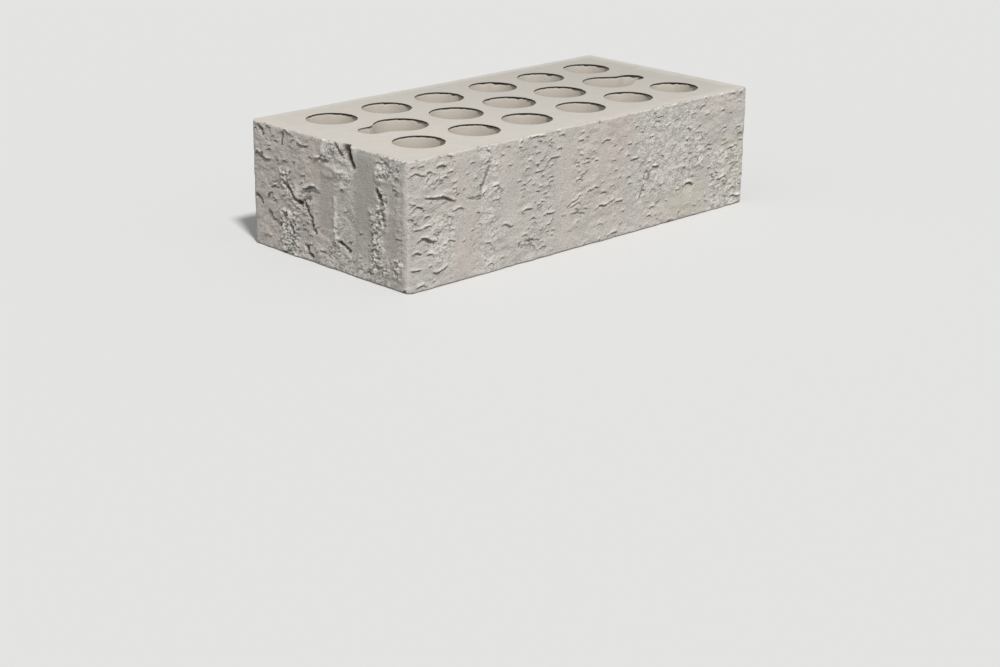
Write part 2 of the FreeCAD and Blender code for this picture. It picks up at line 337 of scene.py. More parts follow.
# %% Placed marks of the long face
FRONT_TEARS = [
    (2.5, 61.2, 4, .6), (8.3, 60.7, 5, .8), (13.2, 57.3, 4, .8), (27, 55.4, 4, .8), (24, 53.4, 3, 1.1),
    (13.3, 52.3, 2.4, .5), (20, 51, 2.2, .5), (14, 42.3, 3, .5), (23, 46, 2.2, .5),
    (30.7, 45.3, 1.8, .7), (3.3, 37.5, 2.6, .6), (12.5, 35.9, 5, .8), (4, 33.7, 5, .8),
    (14, 11, 2.8, .7), (27, 33.5, 3, .5), (27.5, 29, 3, .5), (28.5, 26.3, 4, .5), (36.2, 19.5, 2, .9),
    (43, 16, 3, .5), (41.5, 24, 2.2, .5), (42, 56.9, 5, .6), (43.8, 49.5, 2.6, .6), (38.3, 52.6, 2, .4),
    (57.5, 53.6, 2.4, .5), (61.8, 58.1, 2.6, .6), (67, 51.9, 3, .6), (66, 61.5, 2.2, .4),
    (57, 43.3, 4.6, .9), (57, 35.8, 6, .7), (55.5, 25, 4.6, .5), (57, 21.7, 4, .4), (54, 13.8, 3, .3),
    (55, 12, 3, .4), (54, 3.6, 5, .8), (61.8, 5.4, 3, .6), (84.6, 58.4, 2.4, .6), (94.6, 57, 3, .7),
    (103.5, 60.8, 4.6, .8), (101, 63.4, 2.4, .6), (101.7, 54.1, 4.2, 1.1), (81, 51.8, 3, .7),
    (78.8, 47.9, 3.6, .9), (89, 50.4, 2.2, .5), (86.3, 45.2, 3.6, .8), (92.5, 47.5, 3, .6),
    (90, 42.3, 3, .7), (73.2, 42.8, 2.6, .8), (76.5, 40.1, 4, .7), (84, 39.1, 2.6, .7),
    (88.7, 37.5, 2.2, .5), (92, 32.8, 3.6, .8), (90, 29.2, 3, .5), (83.3, 21.8, 5, .7),
    (84.6, 19.4, 3, .6), (79.6, 17, 2.6, .5), (94.6, 16.5, 3.6, .8), (77.5, 14.3, 3.6, .6),
    (78.3, 11.8, 3, .5), (82, 11.5, 3, .8), (86, 10.3, 2.8, .6), (94, 12.8, 3.2, .8),
    (98.3, 12.8, 3, .8), (80, 8.3, 4, .4), (105.8, 19, 2.6, .6), (110, 10, 3, .3),
    (116.7, 35.9, 4.6, 1.0), (118.3, 59.9, 3, .8), (117.5, 56, 5, .8), (117.5, 51.7, 2.2, .5),
    (117.5, 48.8, 3, .6), (115, 43, 4, .6), (122.5, 43.6, 4.6, .8), (121.5, 57.5, 2.2, .5),
    (126.2, 45, 2.6, .6), (129, 43.9, 2.6, .6), (134, 31.6, 3, .7), (135, 26, 2.6, .5),
    (142, 41.6, 3, .6), (143.7, 36, 4, .5), (142.5, 49.3, 2.2, .6), (154.5, 48.1, 3.2, .9),
    (155, 26.8, 4, .5), (150, 12.8, 4, .5), (132.7, 8.9, 5, .4), (173.7, 10.6, 3.6, 1.0),
    (173, 61.8, 3.2, .8), (176, 59.3, 2.6, .6), (178.5, 59.3, 3, .7), (175, 57.1, 4, .6),
    (172, 54.3, 4, .6), (171.5, 49.4, 3.6, .8), (170.5, 46, 3, .5), (219.3, 24, 4.2, 1.0),
    (221, 20.3, 2.4, .8), (223, 16.8, 3, .6), (199, 58.6, 3.6, .6), (204.5, 56.6, 5, .4),
    (214, 64, 2.2, .6), (215.5, 54.8, 3.6, .8), (203, 54.5, 2.6, .4), (209.5, 49.3, 3, .7),
    (208.5, 46.1, 2.6, .7), (208.5, 39, 2.6, .7), (218, 37.4, 4.6, .8), (219, 34.9, 2.6, .7),
    (218.3, 31.8, 2.2, .6), (228, 54.9, 4, .8), (235.4, 52.4, 3, .6), (236.7, 63, 4, .7),
    (242.5, 58, 4, .5), (231, 45.5, 3, .7), (230.5, 42.6, 3, .7), (242.5, 43.6, 4, .9),
    (231, 38.1, 3, .7), (230, 35.1, 4, .8), (230, 30.9, 4, .6), (244.5, 39.6, 5, .7),
    (243, 23.6, 2.4, .6), (246.7, 22.1, 3, .6), (225, 7.6, 3, .4),
]
for s, z, width, depth in FRONT_TEARS:
    tear(FRONT + s, z, width, depth)

# Tears whose edge leans, with the lean in degrees.
LEANING_TEARS = [
    (27.5, 62.6, 4, 1.0, -38), (45.5, 31.9, 3.4, .6, -32), (61, 39.9, 3.4, .6, 32),
    (95.5, 40.5, 4.2, .8, 16), (96, 38.3, 4.2, .7, 16), (87, 35.1, 3.2, .7, -24),
    (123.5, 28.5, 3.8, .8, 24), (147.5, 45.9, 3.2, .6, 24), (173.5, 19.8, 4.6, .6, 24),
    (211.7, 59.3, 4.8, .9, 22), (248, 9.3, 4, .8, 14), (14.5, 16.9, 5, 1.0, -18),
]
for s, z, width, depth, lean in LEANING_TEARS:
    tear(FRONT + s, z, width, depth, lean)
print(len(FRONT_TEARS) + len(LEANING_TEARS), "tears placed on the long face")

# %% Long edges and grooves of the long face
# Long edges, each through its own points, with a depth and the reach of the ramp under it.
FRONT_LEDGES = [
    ([(0, 57.4), (5, 58.9), (7, 57.9), (11.5, 56.3)], .9, 3.0),
    ([(17.5, 59.3), (20.4, 60.4), (25.5, 58.7)], 1.1, 4.0),
    ([(10.5, 46.4), (15, 45.2), (20.8, 44.8), (25, 43.6), (31, 40.8)], 1.7, 2.6),
    ([(.5, 44.7), (5.5, 43.4)], .9, 2.0),
    ([(5, 43), (8, 41.8), (11, 39.8)], 1.1, 2.0),
    ([(28, 36.1), (33, 37.1), (36.5, 36)], .8, 3.0),
    ([(2.5, 31.3), (8, 30.7), (12, 31.4), (16.5, 31.3)], .8, 2.2),
    ([(5.8, 24.6), (9, 26.3), (11.5, 25.9), (14, 24.3), (19, 23.3)], 1.6, 5.0),
    ([(18.5, 25), (20, 27.4), (22.5, 29.6)], .9, 2.5),
    ([(2, 18.9), (5, 19.9), (9.5, 18.3)], 1.2, 3.0),
    ([(1.5, 11.7), (8, 10.5)], 1.2, 2.2),
    ([(15.5, 8.4), (18, 7.5), (21, 8), (25, 10.4)], 1.2, 2.6),
    ([(4.8, 2.5), (7.5, 3.4), (11, 3.1)], .9, 1.8),
    ([(25.5, 22.5), (31.5, 20.7)], .6, 2.0),
    ([(61, 22.4), (64, 23), (67, 21.2), (70, 21.5)], .9, 2.2),
    ([(79.5, 63.9), (85, 63.6), (91.5, 63)], .9, 1.6),
    ([(92, 49.2), (96, 50.8), (102.5, 50.8)], .8, 3.0),
    ([(75.2, 26.8), (78, 27.9), (83, 27.4)], 1.1, 2.6),
    ([(90.3, 22), (93, 23.2), (96, 22.2), (99, 22.6)], .9, 2.6),
    ([(108, 23.2), (111.5, 25.5), (116, 26.3)], .8, 1.6),
    ([(110.5, 22.8), (117, 24.4)], .7, 1.6),
    ([(110, 20), (116, 18.9), (122, 17.7)], .5, 3.5),
    ([(132.5, 52.4), (135.5, 54), (139, 53.4)], 1.0, 3.0),
    ([(124.5, 28.4), (128, 30.5), (130.5, 29.7)], .8, 2.0),
    ([(154.8, 38.2), (156.6, 40.1), (161.5, 40.4)], .8, 4.5),
    ([(170.5, 31.3), (173.5, 33.5), (178.5, 33.1)], 1.1, 2.6),
    ([(129, 17.6), (132, 19.9), (138, 19.4), (143.5, 21)], 1.2, 4.5),
    ([(144, 19.4), (150.5, 19.3)], .8, 3.0),
    ([(138, 1.7), (142, 2.9), (146.5, 3.3)], .8, 1.6),
    ([(225.5, 17), (230, 17.8), (235, 18.2)], 1.4, 3.0),
    ([(234, 32.9), (238, 33.2), (241.5, 34.2)], 1.0, 2.4),
    ([(235.5, 24.2), (241.5, 24.7)], .7, 2.0),
    ([(237.5, 5.9), (242, 5.1), (246.5, 4)], .9, 2.2),
]
for points, depth, ramp in FRONT_LEDGES:
    ledge(FRONT, points, depth, ramp)

# The one straight scratch, then small cracks, a round dent and the low arch.
groove(FRONT, [(52.8, 54.4), (50.2, 49), (47, 42.8)], .8, .6, straight=True)
groove(FRONT, [(40, 40.5), (46.8, 40.4)], .7, .35)
groove(FRONT, [(41.5, 39.8), (46.5, 39.2)], .7, .35)
groove(FRONT, [(114.6, 47), (112.4, 45.2)], .35, .45)
groove(FRONT, [(165.8, 24.2), (164, 21)], .6, .6)
ring = [(168 + 2.1 * math.cos(a), 29.6 + 2.1 * math.sin(a)) for a in np.linspace(0, 2 * math.pi, 9)]
groove(FRONT, ring, .6, .45)
tear(FRONT + 202.2, 17.6, 8.6, 2.0, arch=4.4, ramp=3.4)
print(f"deepest placed mark of the long face: {torn_depth.max():.2f} mm")

# %% [markdown]
# ## The left end
#
# The end face was torn harder than the long one. It has deep slanting gashes, a crack that wanders across
# it, and strips where the clay came away in crumbs. Between them lie smooth plates that the tool pressed
# flat. Distances here run from the back edge to the front corner.

# %% Placed marks of the left end
LEFT_TEARS = [
    (21.3, 57.3, 3.4, 1.1), (27.5, 47.8, 4, 1.0), (41.5, 42.8, 4, 1.0), (34, 9.8, 3.2, .9),
    (12.5, 6.1, 3.6, .9), (110.5, 49, 4.4, 1.1), (14.8, 51.3, 5, .8), (71, 41.5, 3, .8),
    (4, 60.5, 4, .7), (104, 61, 4, .7), (18, 25.5, 3, .6), (78.8, 26.8, 2.6, .6), (84.8, 11, 2.6, .6),
    (66.2, 21.6, 2.6, 1.0), (56.5, 6.8, 5, .6), (92, 4.5, 4, .5), (112.5, 25.6, 4, .4),
    (110, 11.5, 3, .7), (47, 53, 4, .7), (31, 56, 3, .4),
]
for s, z, width, depth in LEFT_TEARS:
    tear(LEFT_END + s, z, width, depth)

LEFT_LEDGES = [
    ([(26.5, 64), (29.5, 63.4), (34, 61.8)], 1.2, 1.8),
    ([(37, 59.8), (40, 58.4), (45.5, 58.6)], 1.3, 2.2),
    ([(50.5, 53.9), (55, 55.1), (61.5, 54.9)], 1.5, 4.5),
    ([(3, 48), (6, 49.7), (10, 47.5), (16, 47.1)], 1.7, 3.0),
    ([(41.5, 37), (45, 37.8), (48, 39), (51, 39.1), (53.6, 36.8)], 1.9, 4.0),
    ([(15, 33.1), (19, 34.2), (22.5, 33.4)], 1.2, 3.0),
    ([(24, 22.4), (27.8, 20.4)], 1.1, 2.2),
]
for points, depth, ramp in LEFT_LEDGES:
    ledge(LEFT_END, points, depth, ramp)

LEFT_GROOVES = [
    ([(39.5, 29.5), (43.5, 32.2), (46, 31.8)], .6, .7),
    ([(65.5, 65), (67.8, 62.6)], 1.2, .8),
    ([(68.3, 62.5), (70.6, 58.8)], 1.0, .8),
    ([(25.5, 37.3), (28.8, 34.6), (33, 31.8), (36.5, 29.2), (39.8, 28.4)], 1.7, .95),
    ([(42, 30.4), (44.3, 28.3), (44.8, 25.4), (47.3, 23.2), (48, 19.6), (50.2, 16.5)], 1.6, .85),
    ([(6.5, 63), (10, 59.3)], 1.3, .8),
    ([(25.2, 62.8), (25.4, 56.5)], .9, .5),
    ([(4.2, 26.8), (8.3, 22.9)], 1.1, .7),
    ([(13.3, 19.8), (16.5, 16), (22.7, 14.5)], .6, .9),
    ([(31, 15.9), (33.5, 12.2)], 1.3, .9),
    ([(42.6, 7.9), (45, 4.4), (48, 3.2)], 1.8, 1.0),
    ([(69.2, 15.6), (73, 14.4), (76.3, 12)], 1.7, .8),
    ([(97.8, 46.5), (100.2, 43.2)], 2.0, .95),
    ([(100.4, 41), (101, 36), (103.5, 30)], .5, .7),
]
for points, depth, width in LEFT_GROOVES:
    groove(LEFT_END, points, depth, width)

# One deep gash starts at the upper bed and narrows as it goes down.
groove(LEFT_END, [(73.9, 67), (75.2, 62.5)], 2.6, 2.6, straight=True)
groove(LEFT_END, [(75.2, 62.5), (77.2, 59)], 2.3, 2.0, straight=True)
groove(LEFT_END, [(77.2, 59), (80.0, 55.2)], 1.9, 1.2, straight=True)
print(len(LEFT_TEARS), "tears,", len(LEFT_LEDGES), "long edges,", len(LEFT_GROOVES) + 1, "grooves placed")

# %% [markdown]
# ## The marks between
#
# Hundreds of smaller tears fill the space between the placed ones. A plain random scatter looks like
# rain, and the real ones come in upright bands, because each hook ran down its own line. So the chance of
# a tear is a curve along the strip, read off from a few points, times a coarse noise that gathers them
# into groups.

# %% Scattered tears
TEAR_BANDS = [  # distance along the strip, and the chance of a tear there
    (0, .4), (25, .4), (50, .25), (62, .1), (90, .1), (97, .5), (112, .3), (FRONT + 1, .8),
    (FRONT + 30, .7), (FRONT + 33, .1), (FRONT + 43, .12), (FRONT + 46, .55), (FRONT + 60, .45),
    (FRONT + 63, .1), (FRONT + 72, .12), (FRONT + 75, .9), (FRONT + 97, .8), (FRONT + 100, .08),
    (FRONT + 111, .1), (FRONT + 113, .7), (FRONT + 130, .5), (FRONT + 133, .15), (FRONT + 150, .3),
    (FRONT + 165, .6), (FRONT + 180, .6), (FRONT + 188, .35), (FRONT + 205, .9), (FRONT + 214, .5),
    (FRONT + 222, .5), (FRONT + 227, 1), (FRONT + 249, 1), (RIGHT_END + 15, .8), (RIGHT_END + 30, .2),
    (RIGHT_END + 45, .8), (RIGHT_END + 70, .5), (RIGHT_END + 80, .15), (RIGHT_END + 100, .8),
    (BACK + 5, .7), (BACK + 25, .2), (BACK + 40, .8), (BACK + 70, .9), (BACK + 85, .15),
    (BACK + 110, .6), (BACK + 130, .3), (BACK + 150, .9), (BACK + 185, .2), (BACK + 200, .8),
    (ROUND, .5),
]
TRIES = 5200
KEPT_SHARE = 0.55                      # of the likeliest tries, this share becomes a tear
SEAM_MARGIN = 6                        # no scattered tear crosses the strip's own ends


def placed_room(s, z):
    """How whole the clay still is at each point: 1 untouched, 0 already torn deep."""
    column = np.clip(np.searchsorted(columns, s), 0, len(columns) - 1)
    row = np.clip(np.searchsorted(rows, z), 0, len(rows) - 1)
    return np.clip(1 - torn_depth[row, column] / 0.4, 0, 1)


chance = np.random.default_rng(5)
try_s = chance.uniform(SEAM_MARGIN, ROUND - SEAM_MARGIN, TRIES)
try_z = chance.uniform(0, HEIGHT, TRIES)
likely = np.interp(try_s, *np.array(TEAR_BANDS, float).T)
likely = likely * ease(1.1 * rough_noise(try_s, try_z, 15, 11, 41) + 0.5) * placed_room(try_s, try_z)
kept = chance.uniform(0, 1, TRIES) < KEPT_SHARE * likely
print(int(kept.sum()), "scattered tears")

band_size = np.interp(try_s, [FRONT + 180, FRONT + 205, FRONT + 250, RIGHT_END + 10], [1, 0.75, 0.75, 1])
widths = band_size * chance.lognormal(math.log(2.7), 0.38, TRIES)
depths = 0.25 + 0.13 * widths * chance.uniform(0.4, 1.4, TRIES)
leans = chance.normal(4, 22, TRIES)
for s, z, width, depth, lean in zip(try_s[kept], try_z[kept], widths[kept], depths[kept], leans[kept]):
    tear(s, z, width, depth, lean)

# %% [markdown]
# ## Crumbs, bands and waves
#
# More things shape the faces. Where the tool tore deepest, the clay broke off in crumbs of one to two
# millimetres. Every hook line is a shallow trough or swelling that runs from bed to bed. Torn clay also
# lies in overlapping scales, and stiff clay is never quite flat. They are sums of lattice noise with
# different grains: round for crumbs, tall and narrow for the bands. Where each one shows is a list of
# patches on the strip.

# %% Crumbled strips
CRUMBLED = [  # face, from and to along it, from and to in height, softness, strength
    (LEFT_END, 97, 104, 28, 48, 3, .8), (LEFT_END, 50, 108, UNDER, 10, 5, .4),
    (LEFT_END, 22, 37, UNDER, 22, 5, .8), (LEFT_END, 26, 50, 20, 38, 5, .35),
    (LEFT_END, 64, 80, 12, 50, 5, .2), (LEFT_END, 64, 80, 44, 55, 7, .3),
    (LEFT_END, 110, 116, 8, 60, 3, .2), (LEFT_END, -5, 50, UNDER, OVER, 5, .12),
    (LEFT_END, 23, 30, 34, 44, 3, .9), (LEFT_END, 62, 70, 8, 20, 4, .6),
    (LEFT_END, 109, 114, 6, 16, 3, .8), (LEFT_END, 60, 74, 56, OVER, 3, .6),
    (LEFT_END, 97, 112, 52, OVER, 5, .5), (FRONT, 207, 214, 26, 44, 3, .7),
    (FRONT, 220, 250, UNDER, 34, 5, .35), (FRONT, 160, 206, 16, 66, 6, .3),
    (FRONT, 48, 60, UNDER, 66, 6, .25), (FRONT, 15, 30, 10, 36, 5, .3),
    (RIGHT_END, 34, 56, 5, 60, 14, .4), (RIGHT_END, 90, 114, UNDER, 40, 14, .4),
    (BACK, 52, 84, 10, 66, 18, .3), (BACK, 138, 170, UNDER, 45, 18, .3),
]
widest = patch(LEFT_END, 92, 107, 6, 37, 5) * ease((112 - along + LEFT_END - 0.25 * up) / 14)
crumbled = np.clip(patches(CRUMBLED, widest), 0, 1)
crumb = rough_noise(along, up, 1.9, 1.5, 51, 2)
crumb_relief = crumbled * (0.9 * np.clip(np.abs(crumb) * 3.0, 0, 1) - 0.4)
print(f"{100 * (crumbled > 0.5).mean():.0f} percent of the strip is crumbled")

# %% Smooth plates, troughs and waves
PLATES = [  # the same, for clay that was pressed flat
    (LEFT_END, 53.5, 62, 20, 46, 1.5, 1), (LEFT_END, 81, 96, 20, 62, 4, 1),
    (LEFT_END, 33, 46, 13, 27, 4, 1), (LEFT_END, 104, 114, 14, 36, 3, .7),
    (FRONT, 31.5, 42, UNDER, OVER, 3, 1), (FRONT, 62, 73, 25, 56, 3, 1),
    (FRONT, 99, 111, UNDER, OVER, 3, 1), (FRONT, 214, 221, 2, 32, 2, 1),
    (FRONT, 131, 137, 30, 52, 3, 1), (FRONT, 146, 160, 8, 60, 5, .6), (FRONT, 180, 188, 8, 62, 4, .6),
    (FRONT, 192, 213, 1, 18, 4, .7),
]
plates = np.clip(patches(PLATES), 0, 1)
plain = 1 - 0.85 * plates
left_share = ease((WIDTH - along) / 4)
bands = rough_noise(along, up, 17, 140, 61, 2)
waves = rough_noise(bent_along, bent_up, 24, 17, 71, 2)
knots = rough_noise(bent_along, bent_up, 6.0, 4.2, 81, 2)
grit = rough_noise(bent_along, bent_up, 2.6, 1.7, 85, 2)
drag = lattice_noise(along, up, 1.9, 26, 91)
lumps_and_grit = (0.40 - 0.12 * left_share) * knots + 0.22 * grit
broad_relief = 0.30 * bands + 0.40 * waves + plain * lumps_and_grit + 0.05 * drag
print(f"bands, waves and lumps reach {broad_relief.min():.2f} to {broad_relief.max():.2f} mm")

# %% Scales
SCALE_PITCH = 4.6                      # mm from one scale's edge to the next, going up
scale_phase = (bent_up + 3.4 * rough_noise(along, up, 8, 6, 43, 2)) / SCALE_PITCH
scale_share = ease(1.6 * rough_noise(along, up, 9, 6, 47, 2) + 0.35)
scale_share = scale_share * plain * np.interp(along, *np.array(TEAR_BANDS, float).T)
scales = -0.22 * scale_share * (scale_phase % 1)

# On the left end the scales are wide torn plates, whose edges lean.
PLATE_PITCH = 12.0                     # mm from one torn plate's edge to the next
plate_phase = (bent_up - 0.55 * bent_along + 6.5 * rough_noise(along, up, 14, 11, 44, 3)) / PLATE_PITCH
plate_share = (patch(LEFT_END, -5, 52, UNDER, OVER, 6) + patch(LEFT_END, 52, 84, 44, OVER, 6)) * plain
torn_plates = -0.28 * plate_share * (plate_phase % 1)
print(f"scales show on {100 * (scale_share > 0.3).mean():.0f} percent of the strip")

# %% Ridges and hollows that stand on their own
ridge_line = LEFT_END + 66 + 0.7 * rough_noise(up * 0 + 3, up, 9, 9, 95)
upright_ridge = np.exp(-(((along - ridge_line) / 1.0) ** 2)) * ease((up - 14) / 6) * ease((41 - up) / 9)
upright_ridge = upright_ridge * (0.45 + 0.55 * ease(1.5 * rough_noise(along, up, 40, 4, 97, 2) + 0.6))
fold_break = ease(1.4 * rough_noise(bent_along, bent_up, 6, 4, 99, 2) + 0.55)
fold_line = 54.5 - 0.27 * (along - LEFT_END - 48)    # the fold slants down towards the front
over_fold = ease((up - fold_line) / 3 + 0.5) * patch(LEFT_END, 49, 80, 42, 57, 4)
long_fold = 0.35 * fold_break * over_fold * ease((fold_line + 6 - up) / 5)
sunk_plate = -0.4 * patch(LEFT_END, 53.5, 63.5, 15, 46, 2.5)
light_flap = 0.7 * patch(LEFT_END, 96.5, 101.5, 51, 59, 2.5)
smear = 0.4 * patch(LEFT_END, 56, 62, 56, 66, 2)
under_arch = 0.4 * patch(FRONT, 199, 205.5, 7, 15.5, 4)

# Fine upright lines that the die drew beside the front corner: place from the corner, and depth.
die_lines = np.zeros_like(along)
for offset, strength in [(-5.2, .22), (-3.4, .3), (-1.9, .22), (1.4, .25), (3.0, .15)]:
    die_lines = die_lines - strength * np.exp(-(((along - FRONT - offset) / 0.45) ** 2))
die_lines = die_lines * (0.35 + 0.65 * ease((46 - up) / 12))
print(f"deepest die line: {-die_lines.min():.2f} mm")

# %% All the relief together
FACE_WEAR = 0.15                       # mm that the whole face lies inside the die's line
HIGHEST = 0.8                          # mm that the highest lump stands out of it
relief = broad_relief + scales + torn_plates + crumb_relief + sunk_plate + die_lines
relief = relief + upright_ridge + long_fold + light_flap + smear + under_arch
relief = relief + lip_height - torn_depth

# The upright corners were steered by the die, so they keep closer to their line than the open face.
corners = (LEFT_END, FRONT, RIGHT_END, BACK, ROUND)
corner_gap = np.min([np.abs(along - corner) for corner in corners], axis=0)
relief = relief * (0.45 + 0.55 * ease(corner_gap / 5)) - FACE_WEAR
relief = np.minimum(relief, HIGHEST)
print(f"relief from {relief.min():.2f} to {relief.max():.2f} mm, spread {relief.std():.2f} mm")

# %% [markdown]
# ## Winding the strip
#
# Each point of the strip goes to its place on the plan and is moved straight out or in by the relief. It
# is moved level, never up or down, because the wire cut the beds after the faces were torn: a tear that
# runs off the top simply ends at the bed and leaves a notch in its edge.

# %% Skin points
plan_point, plan_normal = wind(columns)
stand_out = relief - row_inset[:, None]
skin = np.empty((*along.shape, 3))
skin[..., 0] = plan_point[:, 0] + plan_normal[:, 0] * stand_out
skin[..., 1] = plan_point[:, 1] + plan_normal[:, 1] * stand_out
skin[..., 2] = up + edge_pull * ease((up - 1) / 2) * ease((HEIGHT - 1 - up) / 2)
print("skin box, mm:", np.round(skin.reshape(-1, 3).min(0), 1), np.round(skin.reshape(-1, 3).max(0), 1))

# %% [markdown]
# ## The cores and the two beds
#
# A bed is a flat plate with seventeen holes. Cutting the holes out of a plate with booleans would leave
# long thin triangles that shade badly. Instead the bed is divided into one cell for each core, and every
# cell is a small fan: its inner edge is the core's rim, its outer edge is the cell's border, and rings
# run between the two. Neighbouring cells share the points of their border, and the outermost border is
# the skin's own last row, notches and all.

# %% Border points
BORDER_STEP = 1.7
CLEAR_OF_EDGE = 5.0                    # the borders' own points stay this far inside the torn edge
x_clear, y_clear = LENGTH / 2 - CLEAR_OF_EDGE, WIDTH / 2 - CLEAR_OF_EDGE

across = even(np.sort(np.concatenate([[-x_clear], outer_borders, middle_borders, [x_clear]])), BORDER_STEP)
outwards = even([ROW_BORDER, y_clear], BORDER_STEP)[1:]
between_rows = even([-ROW_BORDER, ROW_BORDER], BORDER_STEP)[1:-1]
border = np.concatenate([
    *[np.column_stack([across, np.full(len(across), y)]) for y in end_borders],
    *[np.column_stack([np.full(len(outwards), x), side * outwards])
      for x in outer_borders for side in (-1, 1)],
    *[np.column_stack([np.full(len(between_rows), x), between_rows]) for x in middle_borders],
])
plain_edge = plan_point - plan_normal * (BED_EDGE_RADIUS + FOLD)
plain_points = np.concatenate([plain_edge, border])
print(len(plain_edge), "points on a bed's edge and", len(border), "on the borders inside it")

# %% Cells
KEYHOLE_SHIFT = 4.5                    # a keyhole's rays start this far into its tail
TOUCH = 0.01                           # a point this close to a cell's border is on it
CORE_ROWS = [  # each row's y, its cores' x, the borders between them, and the row's own two borders
    (-ROW_Y, outer_x, outer_borders, -WIDTH, -ROW_BORDER),
    (0, middle_x, middle_borders, -ROW_BORDER, ROW_BORDER),
    (ROW_Y, outer_x, outer_borders, ROW_BORDER, WIDTH),
]
cells = []
for y, xs, borders, low_y, high_y in CORE_ROWS:
    for x, low_x, high_x in zip(xs, [-LENGTH, *borders], [*borders, LENGTH]):
        tail = np.sign(x) if y == 0 and abs(x) == KEYHOLE_X else 0
        centre = np.array([x + tail * KEYHOLE_SHIFT, y])
        past_low = plain_points > (low_x - TOUCH, low_y - TOUCH)
        before_high = plain_points < (high_x + TOUCH, high_y + TOUCH)
        chosen = np.flatnonzero((past_low & before_high).all(axis=1))
        ray = plain_points[chosen] - centre
        chosen = chosen[np.argsort(np.arctan2(ray[:, 1], ray[:, 0]))]
        cells.append((centre, tail, MIDDLE_RADIUS if y == 0 else CORE_RADIUS, chosen))
print("points round each cell:", [len(cell[3]) for cell in cells])

# %% [markdown]
# ## Rims and burrs
#
# A cutting wire pulls clay along with it. Where it leaves the solid and meets a core, on the side it
# comes from, the rim is rubbed round. Where it reaches solid clay again, it drags a thin ragged lip out
# over the hole, and the clay just under that lip is torn back. From above, that shows as a dark and
# broken line along one side of every core, and painted shade in the colour under the lip makes it darker.
# Here the lip's overhang is a sum of waves round the rim, strongest on the side that the wire moved
# towards.

# %% Rims
NECK_BLEND = 8.0                       # how softly a keyhole's neck is rounded


def rim_distance(angle, tail, radius):
    """How far the rim lies from where the rays start, at each angle.

    A round core's rim is its radius. A keyhole's rays start a little way into its tail. Each one runs to
    the core's circle, or to the tail's side or round end, whichever is further, blended where the two are
    alike.
    """
    if not tail:
        return np.full_like(angle, radius)
    sine, cosine = np.abs(np.sin(angle)), np.cos(angle) * tail
    to_circle = -KEYHOLE_SHIFT * cosine + np.sqrt(radius**2 - (KEYHOLE_SHIFT * sine) ** 2)
    end = radius + TAIL_LENGTH - TAIL_HALF_WIDTH - KEYHOLE_SHIFT
    to_side = TAIL_HALF_WIDTH / np.maximum(sine, 1e-6)
    to_end = end * cosine + np.sqrt(np.maximum(TAIL_HALF_WIDTH**2 - (end * sine) ** 2, 0))
    to_tail = np.where(to_side * cosine < end, to_side, to_end) * (cosine > 0)
    share = np.clip(0.5 + 0.5 * (to_tail - to_circle) / NECK_BLEND, 0, 1)
    return to_circle * (1 - share) + to_tail * share + NECK_BLEND / 2 * share * (1 - share)


keyhole_reach = KEYHOLE_SHIFT + rim_distance(np.zeros(1), 1, MIDDLE_RADIUS)[0]
print(f"a keyhole reaches {keyhole_reach:.1f} mm from its centre to its tail's end")

# %% Burrs
DRAG_ANGLE = math.radians(10)          # the wire's way across the bed, from +X towards +Y
# Torn lumps at the keyholes' tails: cell number, then the angle in degrees and the reach of each.
TAIL_LUMPS = {
    6: [(122, 3.0), (132, 5.0), (143, 6.5), (153, 4.0), (166, 4.5)],
    10: [(-2, .8), (9, 1.2), (21, .9), (36, 1.2)],
}
TAIL_LUMP_SPREAD = 0.055               # radians


def ragged(angle, number):
    """How far the lip of one core reaches at each angle, around 1: slow waves, and a few short lumps.

    A lump is a narrow bell curve at a random place round the rim.
    """
    chance = np.random.default_rng(300 + number)
    total = np.ones_like(angle)
    for turns in (3, 7, 13, 22, 31):
        total = total + 0.15 * np.sin(turns * angle + chance.uniform(0, 2 * math.pi))
    lumps = [
        (chance.uniform(-180, 180), chance.uniform(0.2, 1.3), chance.uniform(0.04, 0.10)) for _ in range(8)
    ]
    lumps = lumps + [(*lump, TAIL_LUMP_SPREAD) for lump in TAIL_LUMPS.get(number, [])]
    for place, reach, spread in lumps:
        away = np.angle(np.exp(1j * (angle - math.radians(place))))
        total = total + reach * np.exp(-((away / spread) ** 2))
    return total


def drag_share(angle):
    """How strongly the wire dragged clay over the rim: 1 where it ran into clay, 0 where it ran off."""
    return np.clip(0.55 + 0.45 * np.cos(angle - DRAG_ANGLE), 0, 1) ** 0.7


print(f"the wire moved {math.degrees(DRAG_ANGLE):.0f} degrees off the brick's length")

# %% [markdown]
# ## Putting the mesh together
#
# The skin, the beds and the bores are all grids of points. Each grid is turned into four-sided faces by
# the same small function, and points that fall on the same place, such as a rim that a bed and a bore
# share, are made one. The result is a single closed mesh, as the brick is a single piece.

# %% Grids to mesh parts
parts = []                             # (points, faces, marks) of each grid
# What is stored at every point, from 0 to about 1. "pale" is rubbed clay with painted highlight, "far" the
# bed's shaded far corner, and two more marks are painted shade, under torn edges and under the burrs.
MARKS = ("torn", "painted_shade", "pale", "warm", "ochre", "bed", "far", "bore", "burr")


def add_grid(points, inwards, closed=True, **marks):
    """Keeps a grid and its quads. Their normals are columns x rows, or the other way if inwards."""
    count_rows, count_columns = points.shape[:2]
    number = np.arange(count_rows * count_columns).reshape(count_rows, count_columns)
    right = np.roll(number, -1, axis=1)
    corners = [number[:-1], right[:-1], right[1:], number[1:]]
    quads = np.stack(corners[::-1] if inwards else corners, axis=-1)
    quads = quads if closed else quads[:, :-1]
    values = {name: np.broadcast_to(marks.get(name, 0.0), number.shape).ravel() for name in MARKS}
    parts.append((points.reshape(-1, 3), quads.reshape(-1, 4), values))


